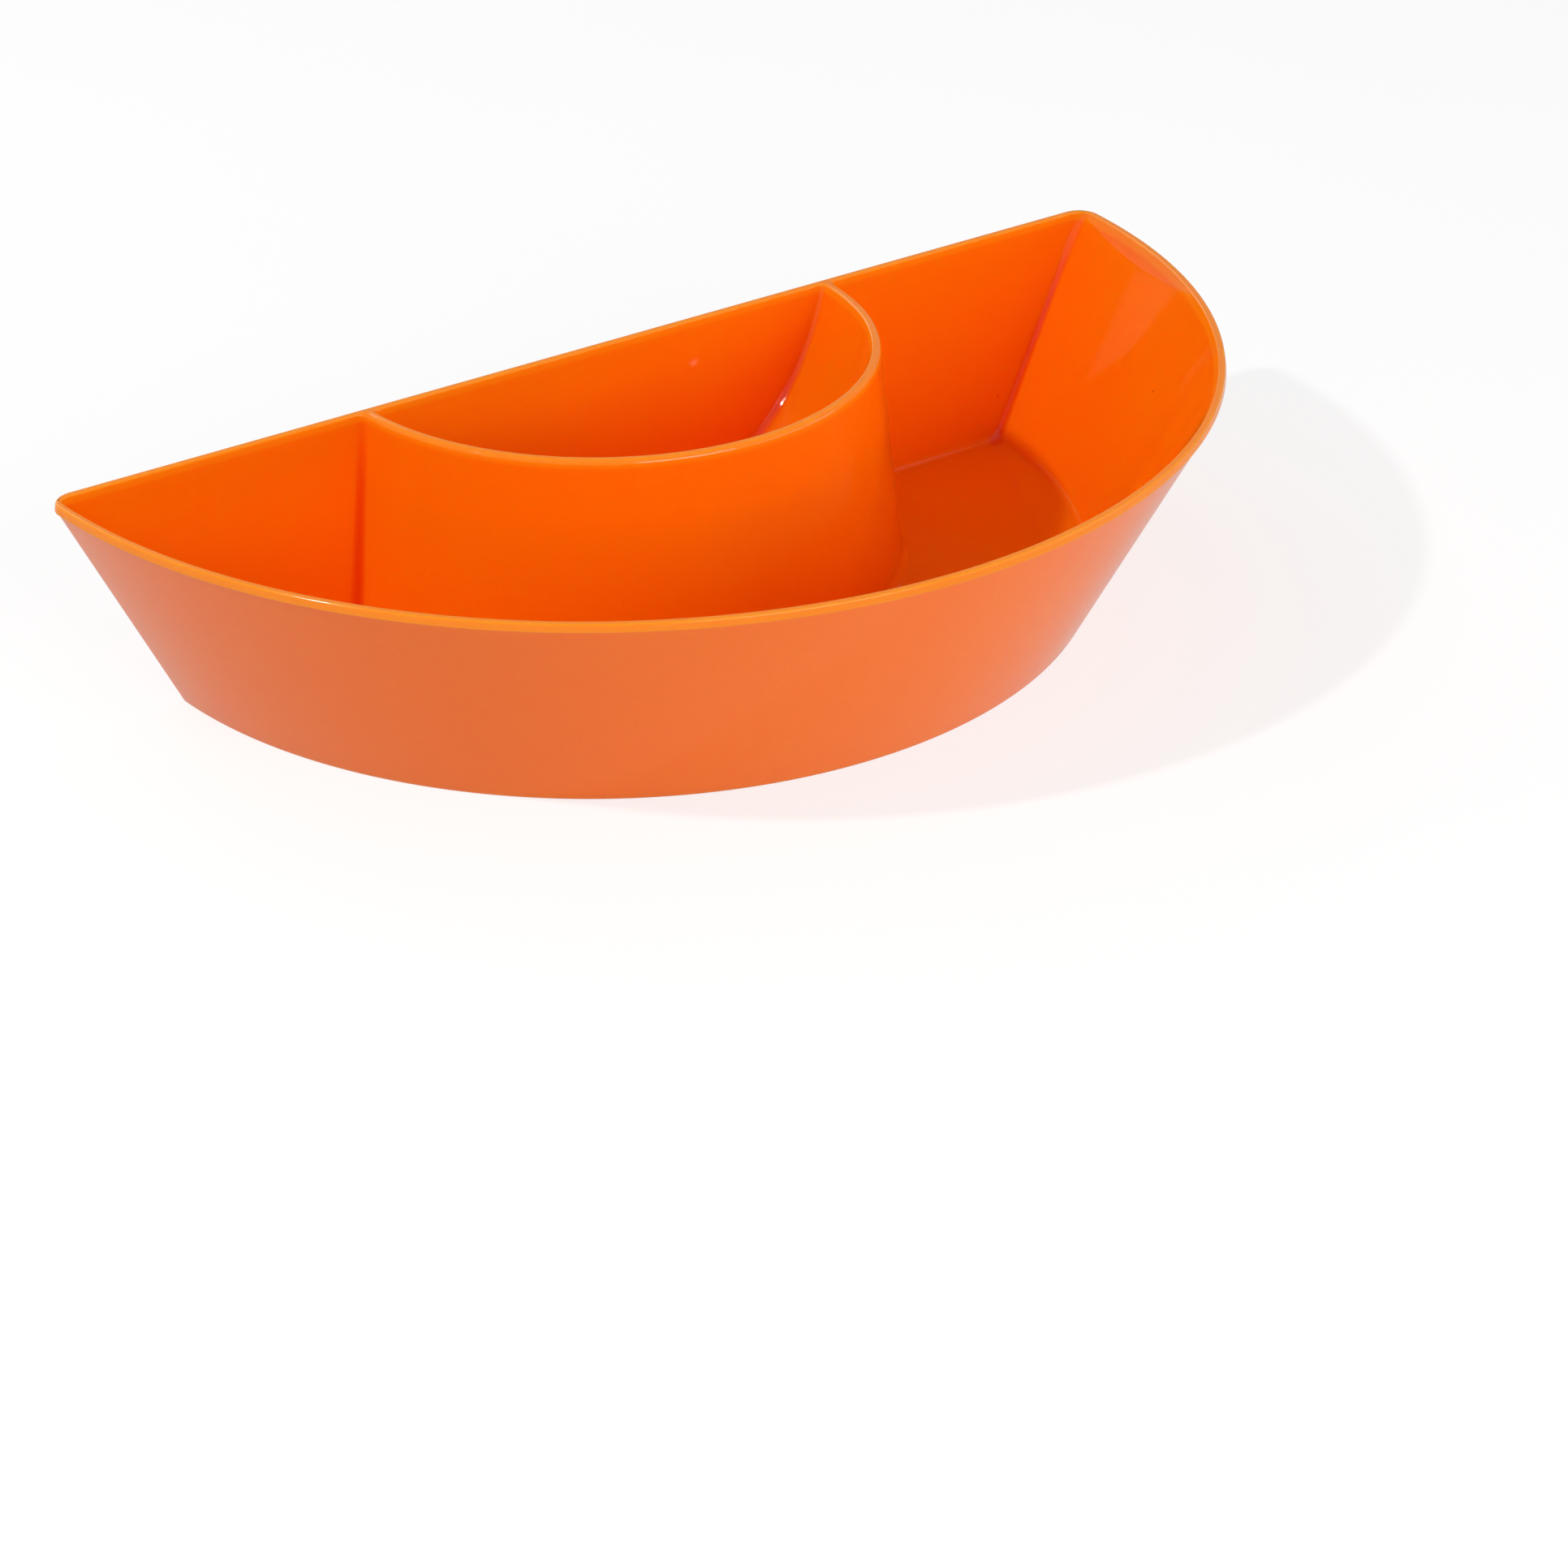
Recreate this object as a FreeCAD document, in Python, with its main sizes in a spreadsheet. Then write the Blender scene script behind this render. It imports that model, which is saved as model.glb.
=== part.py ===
import FreeCAD, Part
import math
import os
import Sketcher
from FreeCAD import Vector

# Half-round chip and dip server, moulded in one piece.
# X runs along the straight back and Z is up from the face that it stands on. The rim's arcs
# are centred on X = 0 at the back plane of the rim, and the bowl lies on the -Y side of it.
# The finished body is then moved along Y, so the origin is under the middle of its box.
# All sizes are in millimetres. Each "inset" is a distance from the back plane of the rim.

SIZES = {
    # outside
    "bowl_height": 70.0,
    "rim_radius": 178.0,
    "base_radius": 142.4,
    "back_base_inset": 2.0,
    "lip_height": 2.4,
    "lip_step": 0.6,
    "lip_lean": 0.4,
    "lip_corner_radius": 7.0,
    "wall_corner_radius": 6.0,
    # chip well
    "floor_height": 4.2,
    "chip_rim_radius": 175.7,
    "chip_floor_radius": 141.9,
    "divider_rim_radius": 80.1,
    "divider_floor_radius": 87.4,
    "back_rim_inset": 2.4,
    "back_floor_inset": 5.9,
    "chip_corner_radius": 3.0,
    "chip_floor_edge_radius": 2.5,
    # dip well
    "dip_rim_radius": 77.5,
    "dip_centre_height": 88.6,
    "dip_corner_radius": 2.5,
    # underside
    "skin": 2.5,
    "foot_width": 4.0,
    "recess_depth": 1.7,
    "hollow_top": 50.0,
    "hollow_top_radius": 79.8,
    "hollow_base_radius": 85.4,
    "hollow_top_inset": 3.8,
    "hollow_base_inset": 4.8,
    "hollow_corner_radius": 1.5,
    # edges
    "rim_outer_edge_radius": 0.6,
    "rim_inner_edge_radius": 0.6,
    "base_edge_radius": 1.0,
}

DIP_RADIUS = "sqrt(sizes.dip_rim_radius ^ 2 + (sizes.dip_centre_height - sizes.bowl_height) ^ 2)"
HALF_TURN = 180.0
TOLERANCE = 0.01

document = FreeCAD.newDocument("chip_and_dip_server")
sheet = document.addObject("Spreadsheet::Sheet", "sizes")
for row, (alias, size) in enumerate(SIZES.items(), start=1):
    sheet.set("A%d" % row, alias.replace("_", " "))
    sheet.set("B%d" % row, str(size))
    sheet.setAlias("B%d" % row, alias)
document.recompute()


# Places in a sketch are written as sums of aliases, such as "rim_radius - lip_step".

def signed_aliases(text):
    """The sign and the name of each size in a sum."""
    sign = 1.0
    for word in text.split():
        if word in ("+", "-"):
            sign = -1.0 if word == "-" else 1.0
        else:
            yield sign, word
            sign = 1.0


def number(text):
    """The value of a sum of sizes."""
    return sum(sign * SIZES[alias] for sign, alias in signed_aliases(text))


def formula(text):
    """The spreadsheet formula of a sum of sizes."""
    return " ".join("%s sizes.%s" % ("-" if sign < 0 else "+", alias)
                    for sign, alias in signed_aliases(text)).lstrip("+ ")


def point(corner):
    across, up = corner
    return Vector(number(across), number(up), 0)


# Sketches

def new_body(name):
    body = document.addObject("PartDesign::Body", name)
    body.Label = name
    return body


def new_sketch(body, name, role):
    sketch = body.newObject("Sketcher::SketchObject", name)
    plane = [feature for feature in body.Origin.OriginFeatures if feature.Role == role][0]
    sketch.AttachmentSupport = [(plane, "")]
    sketch.MapMode = "FlatFace"
    return sketch


def bind(sketch, constraint, text):
    index = sketch.addConstraint(constraint)
    sketch.renameConstraint(index, "size_%d" % index)
    sketch.setExpression("Constraints.size_%d" % index, text)


def hold(sketch, edge, end, corner):
    """Hold one end of an edge at a corner; an empty text puts it on the axis."""
    across, up = corner
    for kind, text, axis in (("DistanceX", across, -2), ("DistanceY", up, -1)):
        if not text:
            sketch.addConstraint(Sketcher.Constraint("PointOnObject", edge, end, axis))
        elif number(text) > 0:
            bind(sketch, Sketcher.Constraint(kind, -1, 1, edge, end, number(text)), formula(text))
        else:
            bind(sketch, Sketcher.Constraint(kind, edge, end, -1, 1, -number(text)),
                 "-1 * (%s)" % formula(text))


def draw_corners(sketch, corners):
    """A closed outline of straight edges."""
    for start, end in zip(corners, corners[1:] + corners[:1]):
        sketch.addGeometry(Part.LineSegment(point(start), point(end)))
    for edge, corner in enumerate(corners):
        after = (edge + 1) % len(corners)
        sketch.addConstraint(Sketcher.Constraint("Coincident", edge, 2, after, 1))
        hold(sketch, edge, 1, corner)


def draw_under_arc(sketch, radius_text, radius, top, corners):
    """A closed outline of an arc about the well's centre, from the axis up to the level top,
    and of straight edges through corners back to the axis."""
    centre = Vector(0, SIZES["dip_centre_height"], 0)
    end_angle = -math.asin((SIZES["dip_centre_height"] - SIZES[top]) / radius)
    circle = Part.Circle(centre, Vector(0, 0, 1), radius)
    arc = sketch.addGeometry(Part.ArcOfCircle(circle, -math.pi / 2, end_angle))
    sketch.addConstraint(Sketcher.Constraint("PointOnObject", arc, 3, -2))
    bind(sketch, Sketcher.Constraint("DistanceY", -1, 1, arc, 3, centre.y),
         "sizes.dip_centre_height")
    bind(sketch, Sketcher.Constraint("Radius", arc, radius), radius_text)
    sketch.addConstraint(Sketcher.Constraint("PointOnObject", arc, 1, -2))

    foot = centre - Vector(0, radius, 0)
    tip = Vector(radius * math.cos(end_angle), SIZES[top], 0)
    places = [tip] + [point(corner) for corner in corners] + [foot]
    for start, end in zip(places, places[1:]):
        sketch.addGeometry(Part.LineSegment(start, end))
    last = len(places) - 1
    sketch.addConstraint(Sketcher.Constraint("Coincident", arc, 2, 1, 1))
    sketch.addConstraint(Sketcher.Constraint("Coincident", last, 2, arc, 1))
    bind(sketch, Sketcher.Constraint("DistanceY", -1, 1, arc, 2, SIZES[top]), "sizes." + top)
    for edge, corner in enumerate(corners, start=1):
        sketch.addConstraint(Sketcher.Constraint("Coincident", edge, 2, edge + 1, 1))
        hold(sketch, edge, 2, corner)


# Features

def half_turn(body, section, name):
    """Revolve a section about Z through the half on the -Y side."""
    turn = body.newObject("PartDesign::Revolution", name)
    turn.Profile = section
    turn.ReferenceAxis = (section, ["V_Axis"])
    turn.Angle = HALF_TURN
    turn.Reversed = True
    document.recompute()
    return turn


def cut_back(body, corners, name):
    """Cut away what lies behind a back face that is drawn from the side."""
    sketch = new_sketch(body, name + "_sketch", "YZ_Plane")
    draw_corners(sketch, corners)
    cut = body.newObject("PartDesign::Pocket", name)
    cut.Profile = sketch
    cut.Midplane = True
    cut.setExpression("Length", "3 * sizes.rim_radius")
    document.recompute()
    return cut


def round_edges(body, base, test, radius, name):
    """Fillet those edges of the base feature that pass the test."""
    edges = ["Edge%d" % index for index, edge in enumerate(base.Shape.Edges, start=1)
             if test(edge)]
    fillet = body.newObject("PartDesign::Fillet", name)
    fillet.Base = (base, edges)
    fillet.setExpression("Radius", "sizes." + radius)
    document.recompute()
    return fillet


def lies_at(edge, height):
    box = edge.BoundBox
    return box.ZMax - height < TOLERANCE and height - box.ZMin < TOLERANCE


def climbs(edge):
    return edge.BoundBox.ZLength > TOLERANCE


def is_outside(edge, radius, back_inset):
    """True for an edge farther out than a radius, or nearer the back plane than an inset."""
    middle = edge.valueAt((edge.FirstParameter + edge.LastParameter) / 2)
    beyond_arc = math.hypot(middle.x, middle.y) > radius + TOLERANCE
    return beyond_arc or middle.y > -back_inset + TOLERANCE


# Sub-parts

def build_blank():
    """The solid half-round outside: leaning wall, proud lip and leaning back."""
    body = new_body("server_bowl")
    section = new_sketch(body, "outer_section", "XZ_Plane")
    lip_bottom = "bowl_height - lip_height"
    draw_corners(section, [
        ("", ""),
        ("base_radius", ""),
        ("rim_radius - lip_step", lip_bottom),
        ("rim_radius", lip_bottom),
        ("rim_radius - lip_lean", "bowl_height"),
        ("", "bowl_height"),
    ])
    half_turn(body, section, "outer_turn")
    back = cut_back(body, [
        ("- back_base_inset", ""),
        ("- lip_step", lip_bottom),
        ("", lip_bottom),
        ("- lip_lean", "bowl_height"),
        ("rim_radius", "bowl_height"),
        ("rim_radius", ""),
    ], "outer_back")

    def is_wall_corner(edge):
        return climbs(edge) and min(vertex.Z for vertex in edge.Vertexes) < TOLERANCE

    walls = round_edges(body, back, is_wall_corner, "wall_corner_radius", "wall_corners")

    def is_lip_corner(edge):
        top = max(vertex.Z for vertex in edge.Vertexes)
        return climbs(edge) and top > SIZES["bowl_height"] - TOLERANCE

    round_edges(body, walls, is_lip_corner, "lip_corner_radius", "lip_corners")
    return body


def leave_back_wall(body, name):
    """Keep a well clear of the back wall, whose inner face leans forward on the way down."""
    return cut_back(body, [
        ("- back_floor_inset", ""),
        ("- back_floor_inset", "floor_height"),
        ("- back_rim_inset", "bowl_height"),
        ("rim_radius", "bowl_height"),
        ("rim_radius", ""),
    ], name)


def build_chip_well():
    """The curved channel for chips, between the outer wall and the divider."""
    body = new_body("chip_well")
    section = new_sketch(body, "chip_section", "XZ_Plane")
    draw_corners(section, [
        ("divider_floor_radius", "floor_height"),
        ("chip_floor_radius", "floor_height"),
        ("chip_rim_radius", "bowl_height"),
        ("divider_rim_radius", "bowl_height"),
    ])
    half_turn(body, section, "chip_turn")
    back = leave_back_wall(body, "chip_back")
    corners = round_edges(body, back, climbs, "chip_corner_radius", "chip_corners")
    round_edges(body, corners, lambda edge: lies_at(edge, SIZES["floor_height"]),
                "chip_floor_edge_radius", "chip_floor_edges")
    return body


def dip_radius():
    return math.hypot(SIZES["dip_rim_radius"], number("dip_centre_height - bowl_height"))


def build_dip_well():
    """The round well for dip, a piece of a ball cut off by the back wall."""
    body = new_body("dip_well")
    section = new_sketch(body, "dip_section", "XZ_Plane")
    draw_under_arc(section, DIP_RADIUS, dip_radius(), "bowl_height", [("", "bowl_height")])
    half_turn(body, section, "dip_turn")
    back = leave_back_wall(body, "dip_back")
    round_edges(body, back, climbs, "dip_corner_radius", "dip_corners")
    return body


def build_hollow():
    """The room under the dip well, between its skin and the divider's skin."""
    body = new_body("hollow")
    section = new_sketch(body, "hollow_section", "XZ_Plane")
    draw_under_arc(section, DIP_RADIUS + " + sizes.skin", dip_radius() + SIZES["skin"], "hollow_top", [
        ("hollow_top_radius", "hollow_top"),
        ("hollow_base_radius", ""),
        ("", ""),
    ])
    half_turn(body, section, "hollow_turn")
    back = cut_back(body, [
        ("- hollow_base_inset", ""),
        ("- hollow_top_inset", "hollow_top"),
        ("rim_radius", "hollow_top"),
        ("rim_radius", ""),
    ], "hollow_back")
    round_edges(body, back, lambda edge: lies_at(edge, SIZES["hollow_top"]),
                "hollow_corner_radius", "hollow_corners")
    return body


def build_recess():
    """The shallow recess that leaves a standing foot round the outline of the base."""
    body = new_body("recess")
    section = new_sketch(body, "recess_section", "XZ_Plane")
    draw_corners(section, [
        ("", ""),
        ("base_radius - foot_width", ""),
        ("base_radius - foot_width", "recess_depth"),
        ("", "recess_depth"),
    ])
    half_turn(body, section, "recess_turn")
    cut_back(body, [
        ("- hollow_base_inset", ""),
        ("- hollow_base_inset", "recess_depth"),
        ("rim_radius", "recess_depth"),
        ("rim_radius", ""),
    ], "recess_back")
    return body


def build_server():
    """Sink the wells and the underside into the blank, then soften the edges."""
    body = build_blank()
    rooms = [build_chip_well(), build_dip_well(), build_hollow(), build_recess()]
    sunk = body.newObject("PartDesign::Boolean", "sunk_rooms")
    sunk.setObjects(rooms)
    sunk.Type = "Cut"
    document.recompute()

    def rounds_the_rim(edge):
        return is_outside(edge, SIZES["chip_rim_radius"], SIZES["back_rim_inset"])

    def rounds_the_foot(edge):
        return is_outside(edge, number("base_radius - foot_width"), SIZES["hollow_base_inset"])

    def is_rim_outer_edge(edge):
        return lies_at(edge, SIZES["bowl_height"]) and rounds_the_rim(edge)

    def is_rim_inner_edge(edge):
        return lies_at(edge, SIZES["bowl_height"]) and not rounds_the_rim(edge)

    def is_base_outer_edge(edge):
        return lies_at(edge, 0.0) and rounds_the_foot(edge)

    outer = round_edges(body, sunk, is_rim_outer_edge, "rim_outer_edge_radius", "rim_outer_edges")
    inner = round_edges(body, outer, is_rim_inner_edge, "rim_inner_edge_radius", "rim_inner_edges")
    round_edges(body, inner, is_base_outer_edge, "base_edge_radius", "base_edges")
    body.setExpression(".Placement.Base.y", "sizes.rim_radius / 2")
    return body


server = build_server()
document.recompute()
for item in document.Objects:
    broken = {"Invalid", "Error"} & set(item.State)
    if broken:
        raise RuntimeError("%s is %s" % (item.Name, broken))
if server.Shape.isNull() or not server.Shape.isValid() or len(server.Shape.Solids) != 1:
    raise RuntimeError("server_bowl is not one valid solid")

os.makedirs("parts", exist_ok=True)
server.Shape.exportStep("parts/%s.step" % server.Label)
box = server.Shape.optimalBoundingBox()
print("server_bowl volume %.0f mm3" % server.Shape.Volume)
print("box X %.2f..%.2f Y %.2f..%.2f Z %.2f..%.2f"
      % (box.XMin, box.XMax, box.YMin, box.YMax, box.ZMin, box.ZMax))
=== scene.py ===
import math

import bmesh
import bpy
from mathutils import Matrix, Vector
from mathutils.geometry import tessellate_polygon


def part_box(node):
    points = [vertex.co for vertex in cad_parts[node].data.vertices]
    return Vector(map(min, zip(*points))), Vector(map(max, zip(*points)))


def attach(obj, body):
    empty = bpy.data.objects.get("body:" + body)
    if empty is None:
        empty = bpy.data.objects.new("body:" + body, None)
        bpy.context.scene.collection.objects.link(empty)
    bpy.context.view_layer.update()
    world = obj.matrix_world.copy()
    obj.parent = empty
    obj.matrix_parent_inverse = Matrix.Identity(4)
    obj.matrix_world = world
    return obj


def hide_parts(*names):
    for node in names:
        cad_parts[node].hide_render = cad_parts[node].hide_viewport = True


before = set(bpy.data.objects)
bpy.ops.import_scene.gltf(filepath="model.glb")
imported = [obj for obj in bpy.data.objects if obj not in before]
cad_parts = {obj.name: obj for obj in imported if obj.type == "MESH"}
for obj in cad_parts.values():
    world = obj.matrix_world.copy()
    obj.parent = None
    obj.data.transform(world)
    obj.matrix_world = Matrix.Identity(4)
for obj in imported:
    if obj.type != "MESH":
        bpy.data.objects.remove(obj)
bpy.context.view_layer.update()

# Looks of the half-round chip and dip server.
# Sizes are in millimetres until the mesh is made. Points are written as (across, front, up):
# across runs along the straight back, front is the distance in front of the rim's back plane,
# and up is the height over the table.

CAD_LOW, CAD_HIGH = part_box("server_bowl")
MM = 0.001

# outside; the lip stands out from the wall and leans in by LIP_LEAN
HEIGHT = (CAD_HIGH[2] - CAD_LOW[2]) / MM
RIM_RADIUS = (CAD_HIGH[1] - CAD_LOW[1]) / MM
BASE_RADIUS = 142.4
BACK_BASE_INSET = 2.0
LIP_BOTTOM = HEIGHT - 2.4
LIP_STEP = 0.6
LIP_LEAN = 0.4
LIP_EDGE = 0.7            # the rim's strip that is built with each wall
LIP_CORNER = 7.0          # the rim's two corners, in plan
BASE_CORNER = 3.0
OUTSIDE_FILLETS = (0.6, 0.25, 0.25, 1.2, 0.4, 0.5)

# chip well
FLOOR_HEIGHT = 4.2
CHIP_RIM_RADIUS = 175.7
CHIP_FLOOR_RADIUS = 141.9
DIVIDER_RIM_RADIUS = 80.1
DIVIDER_FLOOR_RADIUS = 87.4
BACK_RIM_INSET = 2.4
BACK_FLOOR_INSET = 5.9
RIM_EDGE = 0.6            # rounding of the wells' edges at the rim
DIVIDER_EDGE = 1.6
WALL_FOOT = 3.0           # fillets between the walls and the floor
BACK_FOOT = 2.0

# fillets of the chip well's upright creases and the painted shade that darkens the colour along
# (share of the rings from the rim to the floor, value)
# each as stops of the values below; the last set is the strength of the painted shade
OUTER_CREASE = ((0, 3.6), (0.38, 3.6), (0.47, 1.9), (0.68, 3.6), (1, 0.8))
DIVIDER_CREASE = ((0, 2.2), (0.38, 2.2), (0.68, 4.0), (1, 1.0))
CREASE_SHADE_STOPS = ((0, 0), (0.38, 0), (0.48, 1), (0.68, 1), (1, 0.2))

# dip well, a piece of a ball
DIP_RIM_RADIUS = 77.5
DIP_CENTRE_HEIGHT = 88.6
DIP_RADIUS = math.hypot(DIP_RIM_RADIUS, DIP_CENTRE_HEIGHT - HEIGHT)
DIP_EDGE = 0.7
DIP_CREASE = (1.6, 4.5)   # fillet at the rim and along the rest of the crease

# underside
SKIN = 2.5
FOOT_WIDTH = 4.0
RECESS_DEPTH = 1.7
RECESS_MARGIN = 1.0
HOLLOW_TOP = 50.0
HOLLOW_TOP_RADIUS = 79.8
HOLLOW_BASE_RADIUS = 85.4
HOLLOW_TOP_INSET = 3.8
HOLLOW_BASE_INSET = 4.8

# how finely the mesh is divided
ARC_STEPS = 192
LINE_STEPS = 24
FILLET_STEPS = 10
CREASE_STEPS = 120
WELL_STEPS = 12
BALL_STEPS = 40
DOME_STEPS = 48
FLAT_MARGIN = 0.3
MERGE_DISTANCE = 0.004
SHARP_ANGLE = math.radians(35)


def mix(low, high, share):
    return low + (high - low) * share


def ease(share):
    return share * share * (3 - 2 * share)


def shares(count, length):
    """Fractions of a stretch of that length, with one close to each end so that the shading of
    a flat stretch starts right beside its fillets."""
    close = min(FLAT_MARGIN / max(length, FLAT_MARGIN), 0.25)
    return [0.0] + [mix(close, 1 - close, step / (count - 1)) for step in range(count)] + [1.0]


def turned(start, end, share):
    """A unit direction on the way from start to end."""
    angle = start.angle(end)
    if angle < 1e-6:
        return start.copy()
    return (start * math.sin((1 - share) * angle) + end * math.sin(share * angle)) / math.sin(angle)


# ---------------------------------------------------------------- outlines and sections

def section(corners, radii, run_steps=5):
    """A section line of (place, height) through corners, rounded by radii at its inner ones."""
    corners = [Vector((place, height, 0)) for place, height in corners]
    line = [corners[0]]
    for before, corner, after, radius in zip(corners, corners[1:], corners[2:], radii):
        back = (before - corner).normalized()
        ahead = (after - corner).normalized()
        half = back.angle(ahead) / 2
        reach = radius / math.tan(half)
        centre = corner + (back + ahead).normalized() * (radius / math.sin(half))
        start = (corner + back * reach - centre).normalized()
        end = (corner + ahead * reach - centre).normalized()
        add_run(line, centre + start * radius, run_steps)
        line += [centre + turned(start, end, step / FILLET_STEPS) * radius
                 for step in range(1, FILLET_STEPS + 1)]
    add_run(line, corners[-1], run_steps)
    return [(point.x, point.y) for point in line]


def add_run(line, goal, run_steps):
    start = line[-1]
    line += [start.lerp(goal, share) for share in shares(run_steps, (goal - start).length)[1:]]


def levels(stops, count):
    """A value for each ring, eased between stops of (share of the rings, value)."""
    values = []
    for index in range(count):
        place = index / (count - 1)
        for (start, low), (end, high) in zip(stops, stops[1:]):
            if place <= end:
                values.append(mix(low, high, ease((place - start) / (end - start))))
                break
    return values


def sweep(centre, radius, start_angle, end_angle, heights, steps):
    """Points of an arc in plan whose height eases from one to the other."""
    points = []
    for share in [step / steps for step in range(steps + 1)]:
        angle = mix(start_angle, end_angle, share)
        points.append(Vector((centre[0] + radius * math.cos(angle),
                              centre[1] + radius * math.sin(angle),
                              mix(heights[0], heights[1], ease(share)))))
    return points


def straight(start, end, inset, height):
    return [Vector((mix(start, end, share), inset, height))
            for share in shares(LINE_STEPS, abs(end - start))]


def round_arc(radius, start_angle, end_angle, height):
    return [Vector((radius * math.cos(angle), radius * math.sin(angle), height))
            for angle in (mix(start_angle, end_angle, share)
                          for share in shares(ARC_STEPS, radius * math.pi))]


def half_disc_ring(arc, back, fillet):
    """A closed half-round outline. arc and back are each (place, height)."""
    radius, arc_height = arc
    inset, back_height = back
    front = inset + fillet
    across = math.sqrt((radius - fillet) ** 2 - front ** 2)
    tip = math.atan2(front, across)
    heights = (arc_height, back_height)
    ring = round_arc(radius, tip, math.pi - tip, arc_height)
    ring += sweep((-across, front), fillet, math.pi - tip, 1.5 * math.pi, heights, FILLET_STEPS)[1:]
    ring += straight(-across, across, inset, back_height)[1:]
    ring += sweep((across, front), fillet, -0.5 * math.pi, tip, heights[::-1], FILLET_STEPS)[1:-1]
    return ring


def channel_ring(outer, back, divider, outer_fillet, divider_fillet):
    """A closed outline of the channel between the outer wall, the back and the divider."""
    radius, outer_height = outer
    inset, back_height = back
    inner_radius, divider_height = divider
    outer_front = inset + outer_fillet
    outer_across = math.sqrt((radius - outer_fillet) ** 2 - outer_front ** 2)
    outer_tip = math.atan2(outer_front, outer_across)
    inner_front = inset + divider_fillet
    inner_across = math.sqrt((inner_radius + divider_fillet) ** 2 - inner_front ** 2)
    inner_tip = math.atan2(inner_front, inner_across)
    down = (outer_height, back_height)
    over = (back_height, divider_height)

    ring = round_arc(radius, outer_tip, math.pi - outer_tip, outer_height)
    ring += sweep((-outer_across, outer_front), outer_fillet,
                  math.pi - outer_tip, 1.5 * math.pi, down, FILLET_STEPS)[1:]
    ring += straight(-outer_across, -inner_across, inset, back_height)[1:]
    ring += sweep((-inner_across, inner_front), divider_fillet,
                  -0.5 * math.pi, -inner_tip, over, FILLET_STEPS)[1:]
    ring += round_arc(inner_radius, math.pi - inner_tip, inner_tip, divider_height)[1:]
    ring += sweep((inner_across, inner_front), divider_fillet,
                  math.pi + inner_tip, 1.5 * math.pi, over[::-1], FILLET_STEPS)[1:]
    ring += straight(inner_across, outer_across, inset, back_height)[1:]
    ring += sweep((outer_across, outer_front), outer_fillet,
                  -0.5 * math.pi, outer_tip, down[::-1], FILLET_STEPS)[1:-1]
    return ring


def channel_shade(strength):
    """How strong the painted crease shade is at each point of a channel_ring: it rises and falls
    across each of the four fillets."""
    rise = [strength * math.sin(math.pi * step / FILLET_STEPS)
            for step in range(1, FILLET_STEPS + 1)]
    arc = [0.0] * (ARC_STEPS + 1)
    line = [0.0] * (LINE_STEPS + 1)
    return [0.0] + arc + rise + line + rise + arc + rise + line + rise[:-1]


# ---------------------------------------------------------------- surfaces of the server

class Skin:
    """Collects the faces of one closed skin."""

    def __init__(self):
        self.points = []
        self.faces = []
        self.satin = []
        self.crease_shade = []

    def add(self, points, satin=0.0, crease_shade=None):
        """Add points; satin is 1 where the moulding has the duller finish of its outside, and the
        crease value goes to 1 along creases, where painted shade deepens the colour."""
        first = len(self.points)
        self.points += points
        self.satin += [satin] * len(points)
        self.crease_shade += crease_shade or [0.0] * len(points)
        return list(range(first, first + len(points)))

    def bridge(self, near, far, closed=True):
        count = len(near)
        for index in range(count if closed else count - 1):
            after = (index + 1) % count
            self.faces.append((near[index], near[after], far[after], far[index]))

    def rings(self, rings, closed=True, satin=0.0, crease_shade=None):
        """Join rings of points in order; gives the first and the last ring's indices."""
        loops = [self.add(ring, satin, shade_levels)
                 for ring, shade_levels in zip(rings, crease_shade or [None] * len(rings))]
        for near, far in zip(loops, loops[1:]):
            self.bridge(near, far, closed)
        return loops[0], loops[-1]

    def fill(self, *loops):
        """Close a flat region that the first loop bounds and the other loops cut holes in."""
        outlines = [[self.points[index] for index in loop] for loop in loops]
        indices = [index for loop in loops for index in loop]
        for triangle in tessellate_polygon(outlines):
            self.faces.append(tuple(indices[corner] for corner in triangle))


def build_outside(skin):
    """Rim edge, lip, outer wall, foot and recess; gives the loops on the rim and in the recess."""
    inner = BASE_RADIUS - FOOT_WIDTH
    arc = section([
        (RIM_RADIUS - LIP_LEAN - LIP_EDGE, HEIGHT),
        (RIM_RADIUS - LIP_LEAN, HEIGHT),
        (RIM_RADIUS, LIP_BOTTOM),
        (RIM_RADIUS - LIP_STEP, LIP_BOTTOM),
        (BASE_RADIUS, 0),
        (inner, 0),
        (inner, RECESS_DEPTH),
        (inner - RECESS_MARGIN, RECESS_DEPTH),
    ], OUTSIDE_FILLETS)
    back = section([
        (LIP_LEAN + LIP_EDGE, HEIGHT),
        (LIP_LEAN, HEIGHT),
        (0, LIP_BOTTOM),
        (LIP_STEP, LIP_BOTTOM),
        (BACK_BASE_INSET, 0),
        (HOLLOW_BASE_INSET, 0),
        (HOLLOW_BASE_INSET, RECESS_DEPTH),
        (HOLLOW_BASE_INSET + RECESS_MARGIN, RECESS_DEPTH),
    ], OUTSIDE_FILLETS)
    rings = []
    for arc_point, back_point in zip(arc, back):
        height = (arc_point[1] + back_point[1]) / 2
        corner = mix(BASE_CORNER, LIP_CORNER - LIP_STEP, height / LIP_BOTTOM)
        if height > LIP_BOTTOM - 0.1:
            corner = LIP_CORNER - (RIM_RADIUS - arc_point[0])
        rings.append(half_disc_ring(arc_point, back_point, corner))
    return skin.rings(rings, satin=1.0)


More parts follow.
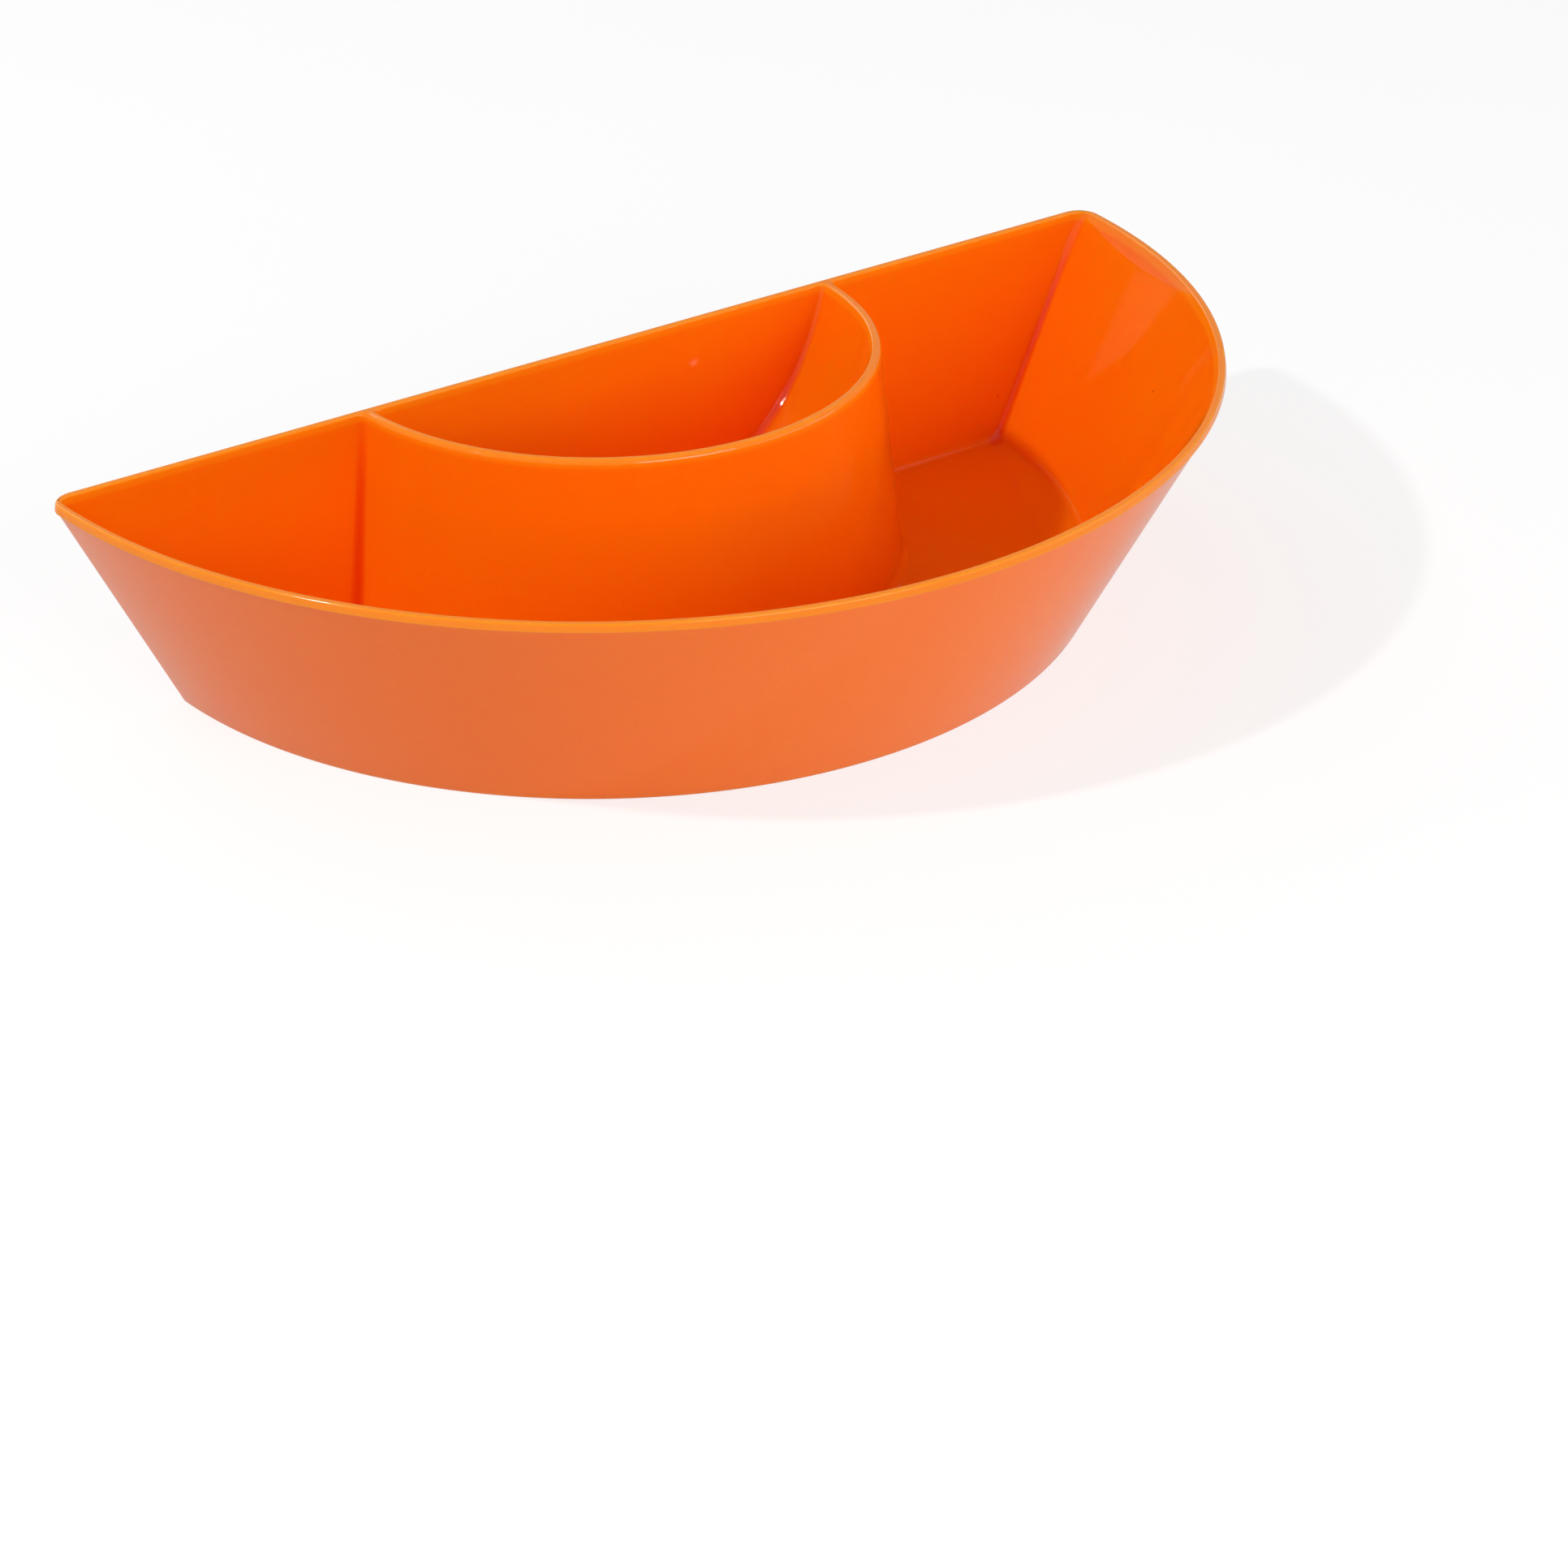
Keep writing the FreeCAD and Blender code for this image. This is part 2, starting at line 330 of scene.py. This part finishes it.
def build_chip_well(skin):
    """The channel for chips; gives its loop on the rim."""
    outer = section([
        (CHIP_RIM_RADIUS + RIM_EDGE, HEIGHT),
        (CHIP_RIM_RADIUS, HEIGHT),
        (CHIP_FLOOR_RADIUS, FLOOR_HEIGHT),
        (CHIP_FLOOR_RADIUS - 6, FLOOR_HEIGHT),
    ], (RIM_EDGE, WALL_FOOT), WELL_STEPS)
    back = section([
        (BACK_RIM_INSET - LIP_EDGE, HEIGHT),
        (BACK_RIM_INSET, HEIGHT),
        (BACK_FLOOR_INSET, FLOOR_HEIGHT),
        (BACK_FLOOR_INSET + 3, FLOOR_HEIGHT),
    ], (RIM_EDGE, BACK_FOOT), WELL_STEPS)
    divider = section([
        (DIVIDER_RIM_RADIUS - DIVIDER_EDGE, HEIGHT),
        (DIVIDER_RIM_RADIUS, HEIGHT),
        (DIVIDER_FLOOR_RADIUS, FLOOR_HEIGHT),
        (DIVIDER_FLOOR_RADIUS + 5, FLOOR_HEIGHT),
    ], (DIVIDER_EDGE, WALL_FOOT), WELL_STEPS)
    count = len(outer)
    rings = [channel_ring(*ring) for ring in zip(outer, back, divider, levels(OUTER_CREASE, count),
                                                 levels(DIVIDER_CREASE, count))]
    # painted shade along the creases, for each ring
    shade_levels = [channel_shade(strength) for strength in levels(CREASE_SHADE_STOPS, count)]
    rim, floor = skin.rings(rings, crease_shade=shade_levels)
    skin.fill(floor)
    return rim


def build_dip_well(skin):
    """The ball-shaped well, with a fillet that rolls along its crease with the back wall.
    Gives its loop on the rim."""
    slope = (BACK_FLOOR_INSET - BACK_RIM_INSET) / (HEIGHT - FLOOR_HEIGHT)
    inward = Vector((0, 1, slope)).normalized()
    upward = Vector((0, -slope, 1)).normalized()
    centre = Vector((0, 0, DIP_CENTRE_HEIGHT))
    on_plane = Vector((0, BACK_RIM_INSET, HEIGHT))
    offset = (centre - on_plane).dot(inward)
    top = HEIGHT - DIP_EDGE
    rim_fillet, low_fillet = DIP_CREASE

    def crease_point(angle, share, fillet):
        """A point across the fillet: share 0 is on the back wall and 1 is on the ball."""
        around = math.sqrt((DIP_RADIUS - fillet) ** 2 - (fillet - offset) ** 2)
        ball = centre + inward * (fillet - offset)
        ball += Vector((math.cos(angle), 0, 0)) * around + upward * math.sin(angle) * around
        towards_ball = (ball - centre).normalized()
        return ball + turned(-inward, towards_ball, share) * fillet

    def end_angle(share):
        """Where the fillet's line at that share reaches the top level, on the right."""
        low, high = -0.5 * math.pi, 0.0
        for _ in range(40):
            middle = (low + high) / 2
            if crease_point(middle, share, rim_fillet).z < top:
                low = middle
            else:
                high = middle
        return low

    crease_shares = [step / FILLET_STEPS for step in range(FILLET_STEPS + 1)]
    ends = [end_angle(share) for share in crease_shares]
    columns, shade_levels = [], []
    for step in range(CREASE_STEPS + 1):
        along = step / CREASE_STEPS
        # painted shade along the crease, fading out towards the rim at each end
        shade_strength = ease(min(1.0, 6 * min(along, 1 - along)))
        shade_levels.append([shade_strength * math.sin(math.pi * share) for share in crease_shares])
        fillet = mix(rim_fillet, low_fillet, ease(min(1.0, 2.5 * min(along, 1 - along))))
        columns.append([crease_point(mix(-math.pi - end, end, along), share, fillet)
                        for share, end in zip(crease_shares, ends)])

    plane_top_inset = BACK_RIM_INSET + slope * DIP_EDGE
    ball_start = columns[0][-1]
    ball_end = columns[-1][-1]
    start_azimuth = math.atan2(ball_start.y, ball_start.x)
    end_azimuth = math.atan2(ball_end.y, ball_end.x)
    level_radius = math.hypot(ball_end.x, ball_end.y)
    back_lines, ball_lines = [], []
    for step, column in enumerate(columns):
        wall_foot = column[0]
        wall_top = Vector((wall_foot.x, plane_top_inset, top))
        back_lines.append([wall_top.lerp(wall_foot, share)
                           for share in shares(8, (wall_top - wall_foot).length)])
        azimuth = mix(start_azimuth, end_azimuth, step / CREASE_STEPS)
        rim_point = Vector((level_radius * math.cos(azimuth),
                            level_radius * math.sin(azimuth), top))
        start = (column[-1] - centre).normalized()
        end = (rim_point - centre).normalized()
        length = start.angle(end) * DIP_RADIUS
        ball_lines.append([centre + turned(start, end, share) * DIP_RADIUS
                           for share in shares(BALL_STEPS, length)])
    skin.rings(back_lines, closed=False)
    skin.rings(columns, closed=False, crease_shade=shade_levels)
    skin.rings(ball_lines, closed=False)

    # the loop at the top level, with the direction out of the well and the walls' lean
    loop = [(line[0], Vector((0, -1, 0)), math.atan(slope)) for line in back_lines]
    lean_at_ball = math.asin((DIP_CENTRE_HEIGHT - top) / DIP_RADIUS)

    def end_part(column):
        for share, point in list(zip(crease_shares, column))[1:]:
            radial = Vector((point.x, point.y, 0)).normalized()
            yield point, turned(Vector((0, -1, 0)), radial, share), mix(math.atan(slope),
                                                                        lean_at_ball, share)

    loop += list(end_part(columns[-1]))
    loop += [(line[-1], Vector((line[-1].x, line[-1].y, 0)).normalized(), lean_at_ball)
             for line in reversed(ball_lines[:-1])]
    loop += list(reversed(list(end_part(columns[0]))))[1:]
    rings = []
    for step in range(FILLET_STEPS + 1):
        share = step / FILLET_STEPS
        ring = []
        for point, outward, lean in loop:
            wall = outward * math.sin(lean) + Vector((0, 0, math.cos(lean)))
            corner = point + wall * (DIP_EDGE / math.cos(lean))
            flat = corner + outward * DIP_EDGE
            ring.append(point.lerp(corner, share).lerp(corner.lerp(flat, share), share))
        rings.append(ring)
    rings.append([point + outward * FLAT_MARGIN
                  for point, (_, outward, _) in zip(rings[-1], loop)])
    _, rim = skin.rings(rings)
    return rim


def build_underside(skin, recess_loop):
    """The hollow between the dip well's skin and the divider's skin."""
    back_slope = (HOLLOW_BASE_INSET - HOLLOW_TOP_INSET) / HOLLOW_TOP
    dome_radius = DIP_RADIUS + SKIN
    top_radius = math.sqrt(dome_radius ** 2 - (DIP_CENTRE_HEIGHT - HOLLOW_TOP) ** 2)
    base_radius = mix(HOLLOW_BASE_RADIUS, HOLLOW_TOP_RADIUS, RECESS_DEPTH / HOLLOW_TOP)
    line = section([
        (base_radius + 1.5, RECESS_DEPTH),
        (base_radius, RECESS_DEPTH),
        (HOLLOW_TOP_RADIUS, HOLLOW_TOP),
        (top_radius, HOLLOW_TOP),
    ], (0.8, 1.5))
    top_angle = math.asin((DIP_CENTRE_HEIGHT - HOLLOW_TOP) / dome_radius)
    inset = HOLLOW_BASE_INSET - back_slope * (DIP_CENTRE_HEIGHT - dome_radius)
    pole_angle = math.acos(inset / dome_radius)
    for step in range(1, DOME_STEPS + 1):
        angle = mix(top_angle, pole_angle, step / DOME_STEPS)
        line.append((dome_radius * math.cos(angle),
                     DIP_CENTRE_HEIGHT - dome_radius * math.sin(angle)))

    rings = []
    for radius, height in line:
        inset = HOLLOW_BASE_INSET - back_slope * height
        tip = math.asin(min(1.0, inset / radius))
        rings.append([Vector((radius * math.cos(angle), radius * math.sin(angle), height))
                      for angle in (mix(tip, math.pi - tip, share)
                                    for share in shares(ARC_STEPS // 2, radius * math.pi))])
    skin.rings(rings, closed=False)
    right = [ring[0] for ring in rings]
    left = [ring[-1] for ring in rings]
    wall = skin.add(right + left[::-1][1:])
    skin.fill(wall)
    mouth = skin.add(rings[0])
    skin.fill(recess_loop, mouth)


def make_server():
    skin = Skin()
    rim_loop, recess_loop = build_outside(skin)
    chip_loop = build_chip_well(skin)
    dip_loop = build_dip_well(skin)
    build_underside(skin, recess_loop)
    skin.fill(rim_loop, chip_loop, dip_loop)

    mesh = bpy.data.meshes.new("server_moulding")
    back_plane = CAD_HIGH[1]
    places = [(point.x * MM, back_plane - point.y * MM, CAD_LOW[2] + point.z * MM)
              for point in skin.points]
    mesh.from_pydata(places, [], skin.faces)
    # satin sets the duller outside; the crease value sets the painted shade in the colour
    for name, values in (("satin", skin.satin), ("crease_shade", skin.crease_shade)):
        mesh.attributes.new(name, "FLOAT", "POINT").data.foreach_set("value", values)
    shape = bmesh.new()
    shape.from_mesh(mesh)
    bmesh.ops.remove_doubles(shape, verts=shape.verts, dist=MERGE_DISTANCE * MM)
    bmesh.ops.dissolve_degenerate(shape, edges=shape.edges, dist=MERGE_DISTANCE / 2 * MM)
    bmesh.ops.recalc_face_normals(shape, faces=shape.faces)
    for face in shape.faces:
        face.smooth = True
    shape.to_mesh(mesh)
    shape.free()
    mesh.set_sharp_from_angle(angle=SHARP_ANGLE)
    server = bpy.data.objects.new("server_moulding", mesh)
    bpy.context.scene.collection.objects.link(server)
    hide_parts("server_bowl")
    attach(server, "root")
    return server


# ---------------------------------------------------------------- materials

DEEP_ORANGE = (0.970, 0.178, 0.0008)
PALE_ORANGE = (0.980, 0.192, 0.0012)
LINE_ORANGE = (0.980, 0.196, 0.0016)
# painted shade: the deeper red of the creases
CREASE_SHADE_RED = (0.84, 0.055, 0.0005)
# painted light: the lighter, yellower rim
RIM_GLOW_ORANGE = (0.99, 0.250, 0.004)
SPECK_BROWN = (0.45, 0.06, 0.001)
DARKER_GREY = (0.27, 0.27, 0.27)
LIGHTER_GREY = (0.29, 0.29, 0.29)
FLOOR_GLOW = 0.43
FLOOR_SEEN_GLOW = 0.74


def new_material(name):
    material = bpy.data.materials.new(name)
    material.use_nodes = True
    tree = material.node_tree
    return material, tree, tree.nodes["Principled BSDF"]


def noise(tree, place, scale, detail):
    node = tree.nodes.new("ShaderNodeTexNoise")
    node.inputs["Scale"].default_value = scale
    node.inputs["Detail"].default_value = detail
    tree.links.new(place, node.inputs["Vector"])
    return node.outputs["Fac"]


def in_range(tree, value, low, high, from_low=0.3, from_high=0.7):
    node = tree.nodes.new("ShaderNodeMapRange")
    node.inputs["From Min"].default_value = from_low
    node.inputs["From Max"].default_value = from_high
    node.inputs["To Min"].default_value = low
    node.inputs["To Max"].default_value = high
    tree.links.new(value, node.inputs["Value"])
    return node.outputs["Result"]


def mixed(tree, share, low, high, kind="RGBA"):
    """A blend of two colours or numbers. Each of the three may come from another node."""
    node = tree.nodes.new("ShaderNodeMix")
    node.data_type = kind
    for name, value in (("Factor", share), ("A", low), ("B", high)):
        if isinstance(value, bpy.types.NodeSocket):
            tree.links.new(value, node.inputs[name])
        else:
            node.inputs[name].default_value = (*value, 1) if isinstance(value, tuple) else value
    return node.outputs["Result"]


def stretched(tree, place, scales):
    node = tree.nodes.new("ShaderNodeMapping")
    node.inputs["Scale"].default_value = scales
    tree.links.new(place, node.inputs["Vector"])
    return node.outputs["Vector"]


def product(tree, first, second):
    node = tree.nodes.new("ShaderNodeMath")
    node.operation = "MULTIPLY"
    tree.links.new(first, node.inputs[0])
    tree.links.new(second, node.inputs[1])
    return node.outputs["Value"]


def specks(tree, place):
    """Small dark inclusions, one in some of the cells of a 25 mm pattern."""
    cells = tree.nodes.new("ShaderNodeTexVoronoi")
    cells.inputs["Scale"].default_value = 40.0
    tree.links.new(place, cells.inputs["Vector"])
    dot = in_range(tree, cells.outputs["Distance"], 1.0, 0.0, 0.008, 0.020)
    lot = tree.nodes.new("ShaderNodeSeparateColor")
    tree.links.new(cells.outputs["Color"], lot.inputs["Color"])
    return product(tree, dot, in_range(tree, lot.outputs["Red"], 0.0, 1.0, 0.55, 0.60))


def from_mesh(tree, name):
    node = tree.nodes.new("ShaderNodeAttribute")
    node.attribute_name = name
    return node.outputs["Fac"]


def rim_glow_mask(tree, place):
    """1 at the rim's height, where painted light makes the thin moulding lighter and yellower."""
    split = tree.nodes.new("ShaderNodeSeparateXYZ")
    tree.links.new(place, split.inputs["Vector"])
    return in_range(tree, split.outputs["Z"], 0.0, 1.0, (LIP_BOTTOM - 0.5) * MM,
                    (LIP_BOTTOM + 0.5) * MM)


def orange_plastic():
    """Glossy moulded plastic that lets a little light through. Its colour changes slowly where
    it flowed, with faint upright lines and a few inclusions; painted shade deepens it along the
    creases and painted light makes it yellower at the rim. It has a slight orange peel and hair
    scratches, and is duller outside."""
    material, tree, shader = new_material("orange_plastic")
    place = tree.nodes.new("ShaderNodeTexCoord").outputs["Object"]

    clouds = in_range(tree, noise(tree, place, 9.0, 2.0), 0.0, 1.0)
    lines = in_range(tree, noise(tree, stretched(tree, place, (90, 90, 7)), 1.0, 3.0), 0.0, 1.0)
    flow = mixed(tree, clouds, DEEP_ORANGE, PALE_ORANGE)
    lined = mixed(tree, product(tree, lines, clouds), DEEP_ORANGE, LINE_ORANGE)
    crease_shade_mask = in_range(tree, from_mesh(tree, "crease_shade"), 0.0, 0.8, 0.0, 1.0)
    colour = mixed(tree, 0.4, flow, lined)
    # painted shade: a deeper red along the creases
    colour = mixed(tree, crease_shade_mask, colour, CREASE_SHADE_RED)
    # painted light: the rim is made lighter and yellower above the lip's foot
    colour = mixed(tree, rim_glow_mask(tree, place), colour, RIM_GLOW_ORANGE)
    colour = mixed(tree, specks(tree, place), colour, SPECK_BROWN)
    tree.links.new(colour, shader.inputs["Base Color"])
    shader.inputs["Subsurface Weight"].default_value = 1.0
    shader.inputs["Subsurface Radius"].default_value = (1.0, 1.0, 0.2)
    shader.inputs["Subsurface Scale"].default_value = 0.004
    shader.inputs["IOR"].default_value = 1.44

    scratches = noise(tree, stretched(tree, place, (900, 60, 60)), 1.0, 4.0)
    smears = noise(tree, place, 45.0, 3.0)
    polish = mixed(tree, in_range(tree, scratches, 0.0, 1.0, 0.60, 0.75),
                   in_range(tree, smears, 0.02, 0.04), in_range(tree, smears, 0.06, 0.09), "FLOAT")
    satin = in_range(tree, noise(tree, place, 60.0, 3.0), 0.11, 0.15)
    roughness = mixed(tree, from_mesh(tree, "satin"), polish, satin, "FLOAT")
    tree.links.new(roughness, shader.inputs["Roughness"])

    peel = tree.nodes.new("ShaderNodeBump")
    peel.inputs["Strength"].default_value = 0.02
    peel.inputs["Distance"].default_value = 0.0004
    tree.links.new(noise(tree, place, 160.0, 2.0), peel.inputs["Height"])
    tree.links.new(peel.outputs["Normal"], shader.inputs["Normal"])
    return material


def pale_floor():
    """A white light table: it glows, so shadows on it stay light. It looks brighter than the
    light that it gives, as a floor does that is exposed to white."""
    material, tree, shader = new_material("pale_floor")
    place = tree.nodes.new("ShaderNodeTexCoord").outputs["Object"]
    colour = mixed(tree, noise(tree, place, 3.0, 2.0), DARKER_GREY, LIGHTER_GREY)
    tree.links.new(colour, shader.inputs["Base Color"])
    shader.inputs["Roughness"].default_value = 0.6
    shader.inputs["Specular IOR Level"].default_value = 0.0
    shader.inputs["Emission Color"].default_value = (1, 1, 1, 1)
    seen = tree.nodes.new("ShaderNodeLightPath").outputs["Is Camera Ray"]
    glow = in_range(tree, seen, FLOOR_GLOW, FLOOR_SEEN_GLOW, 0.0, 1.0)
    tree.links.new(glow, shader.inputs["Emission Strength"])
    return material


# ---------------------------------------------------------------- studio

CAMERA_AIM = Vector((-0.0361, -0.0497, 0.0))
CAMERA_DISTANCE = 1.2495
CAMERA_AZIMUTH = math.radians(-36.36)
CAMERA_ELEVATION = math.radians(28.88)
CAMERA_ROLL = math.radians(0.32)
CAMERA_LENS = 107.45
STUDIO_MIDDLE = (0, 0, 0.03)


def view_direction(azimuth, elevation):
    """From the aim towards the camera."""
    return Vector((math.sin(azimuth) * math.cos(elevation),
                   -math.cos(azimuth) * math.cos(elevation),
                   math.sin(elevation)))


def make_camera():
    data = bpy.data.cameras.new("camera")
    data.lens = CAMERA_LENS
    data.sensor_width = 36
    camera = bpy.data.objects.new("camera", data)
    bpy.context.scene.collection.objects.link(camera)
    towards = view_direction(CAMERA_AZIMUTH, CAMERA_ELEVATION)
    turn = (-towards).to_track_quat("-Z", "Y").to_matrix().to_4x4()
    roll = Matrix.Rotation(CAMERA_ROLL, 4, "Z")
    camera.matrix_world = Matrix.Translation(CAMERA_AIM + towards * CAMERA_DISTANCE) @ turn @ roll
    bpy.context.scene.camera = camera


def make_floor():
    mesh = bpy.data.meshes.new("floor")
    half = 4.0
    corners = [(-half, -half, 0), (half, -half, 0), (half, half, 0), (-half, half, 0)]
    mesh.from_pydata(corners, [], [(0, 1, 2, 3)])
    mesh.materials.append(pale_floor())
    floor = bpy.data.objects.new("floor", mesh)
    bpy.context.scene.collection.objects.link(floor)


def soft_light(name, place, size, watts):
    data = bpy.data.lights.new(name, "AREA")
    data.shape = "RECTANGLE"
    data.size, data.size_y = size
    data.energy = watts
    light = bpy.data.objects.new(name, data)
    bpy.context.scene.collection.objects.link(light)
    light.location = place
    aim = Vector(STUDIO_MIDDLE) - Vector(place)
    light.rotation_euler = aim.to_track_quat("-Z", "Y").to_euler()


def make_studio():
    world = bpy.data.worlds.new("studio")
    world.use_nodes = True
    background = world.node_tree.nodes["Background"]
    background.inputs["Color"].default_value = (1, 1, 1, 1)
    background.inputs["Strength"].default_value = 0.40
    bpy.context.scene.world = world
    bpy.context.scene.view_settings.view_transform = "Standard"
    soft_light("key", (-1.215, 0.171, 1.346), (0.08, 0.08), 14.5)
    soft_light("front", (0.0, -1.8, 0.75), (1.4, 0.8), 16.5)
    soft_light("low", (1.25, -1.1, 0.30), (1.4, 0.4), 4)
    soft_light("back", (0, 1.7, 0.9), (1.2, 1.0), 4.5)
    make_floor()
    make_camera()


server = make_server()
server.data.materials.append(orange_plastic())
make_studio()
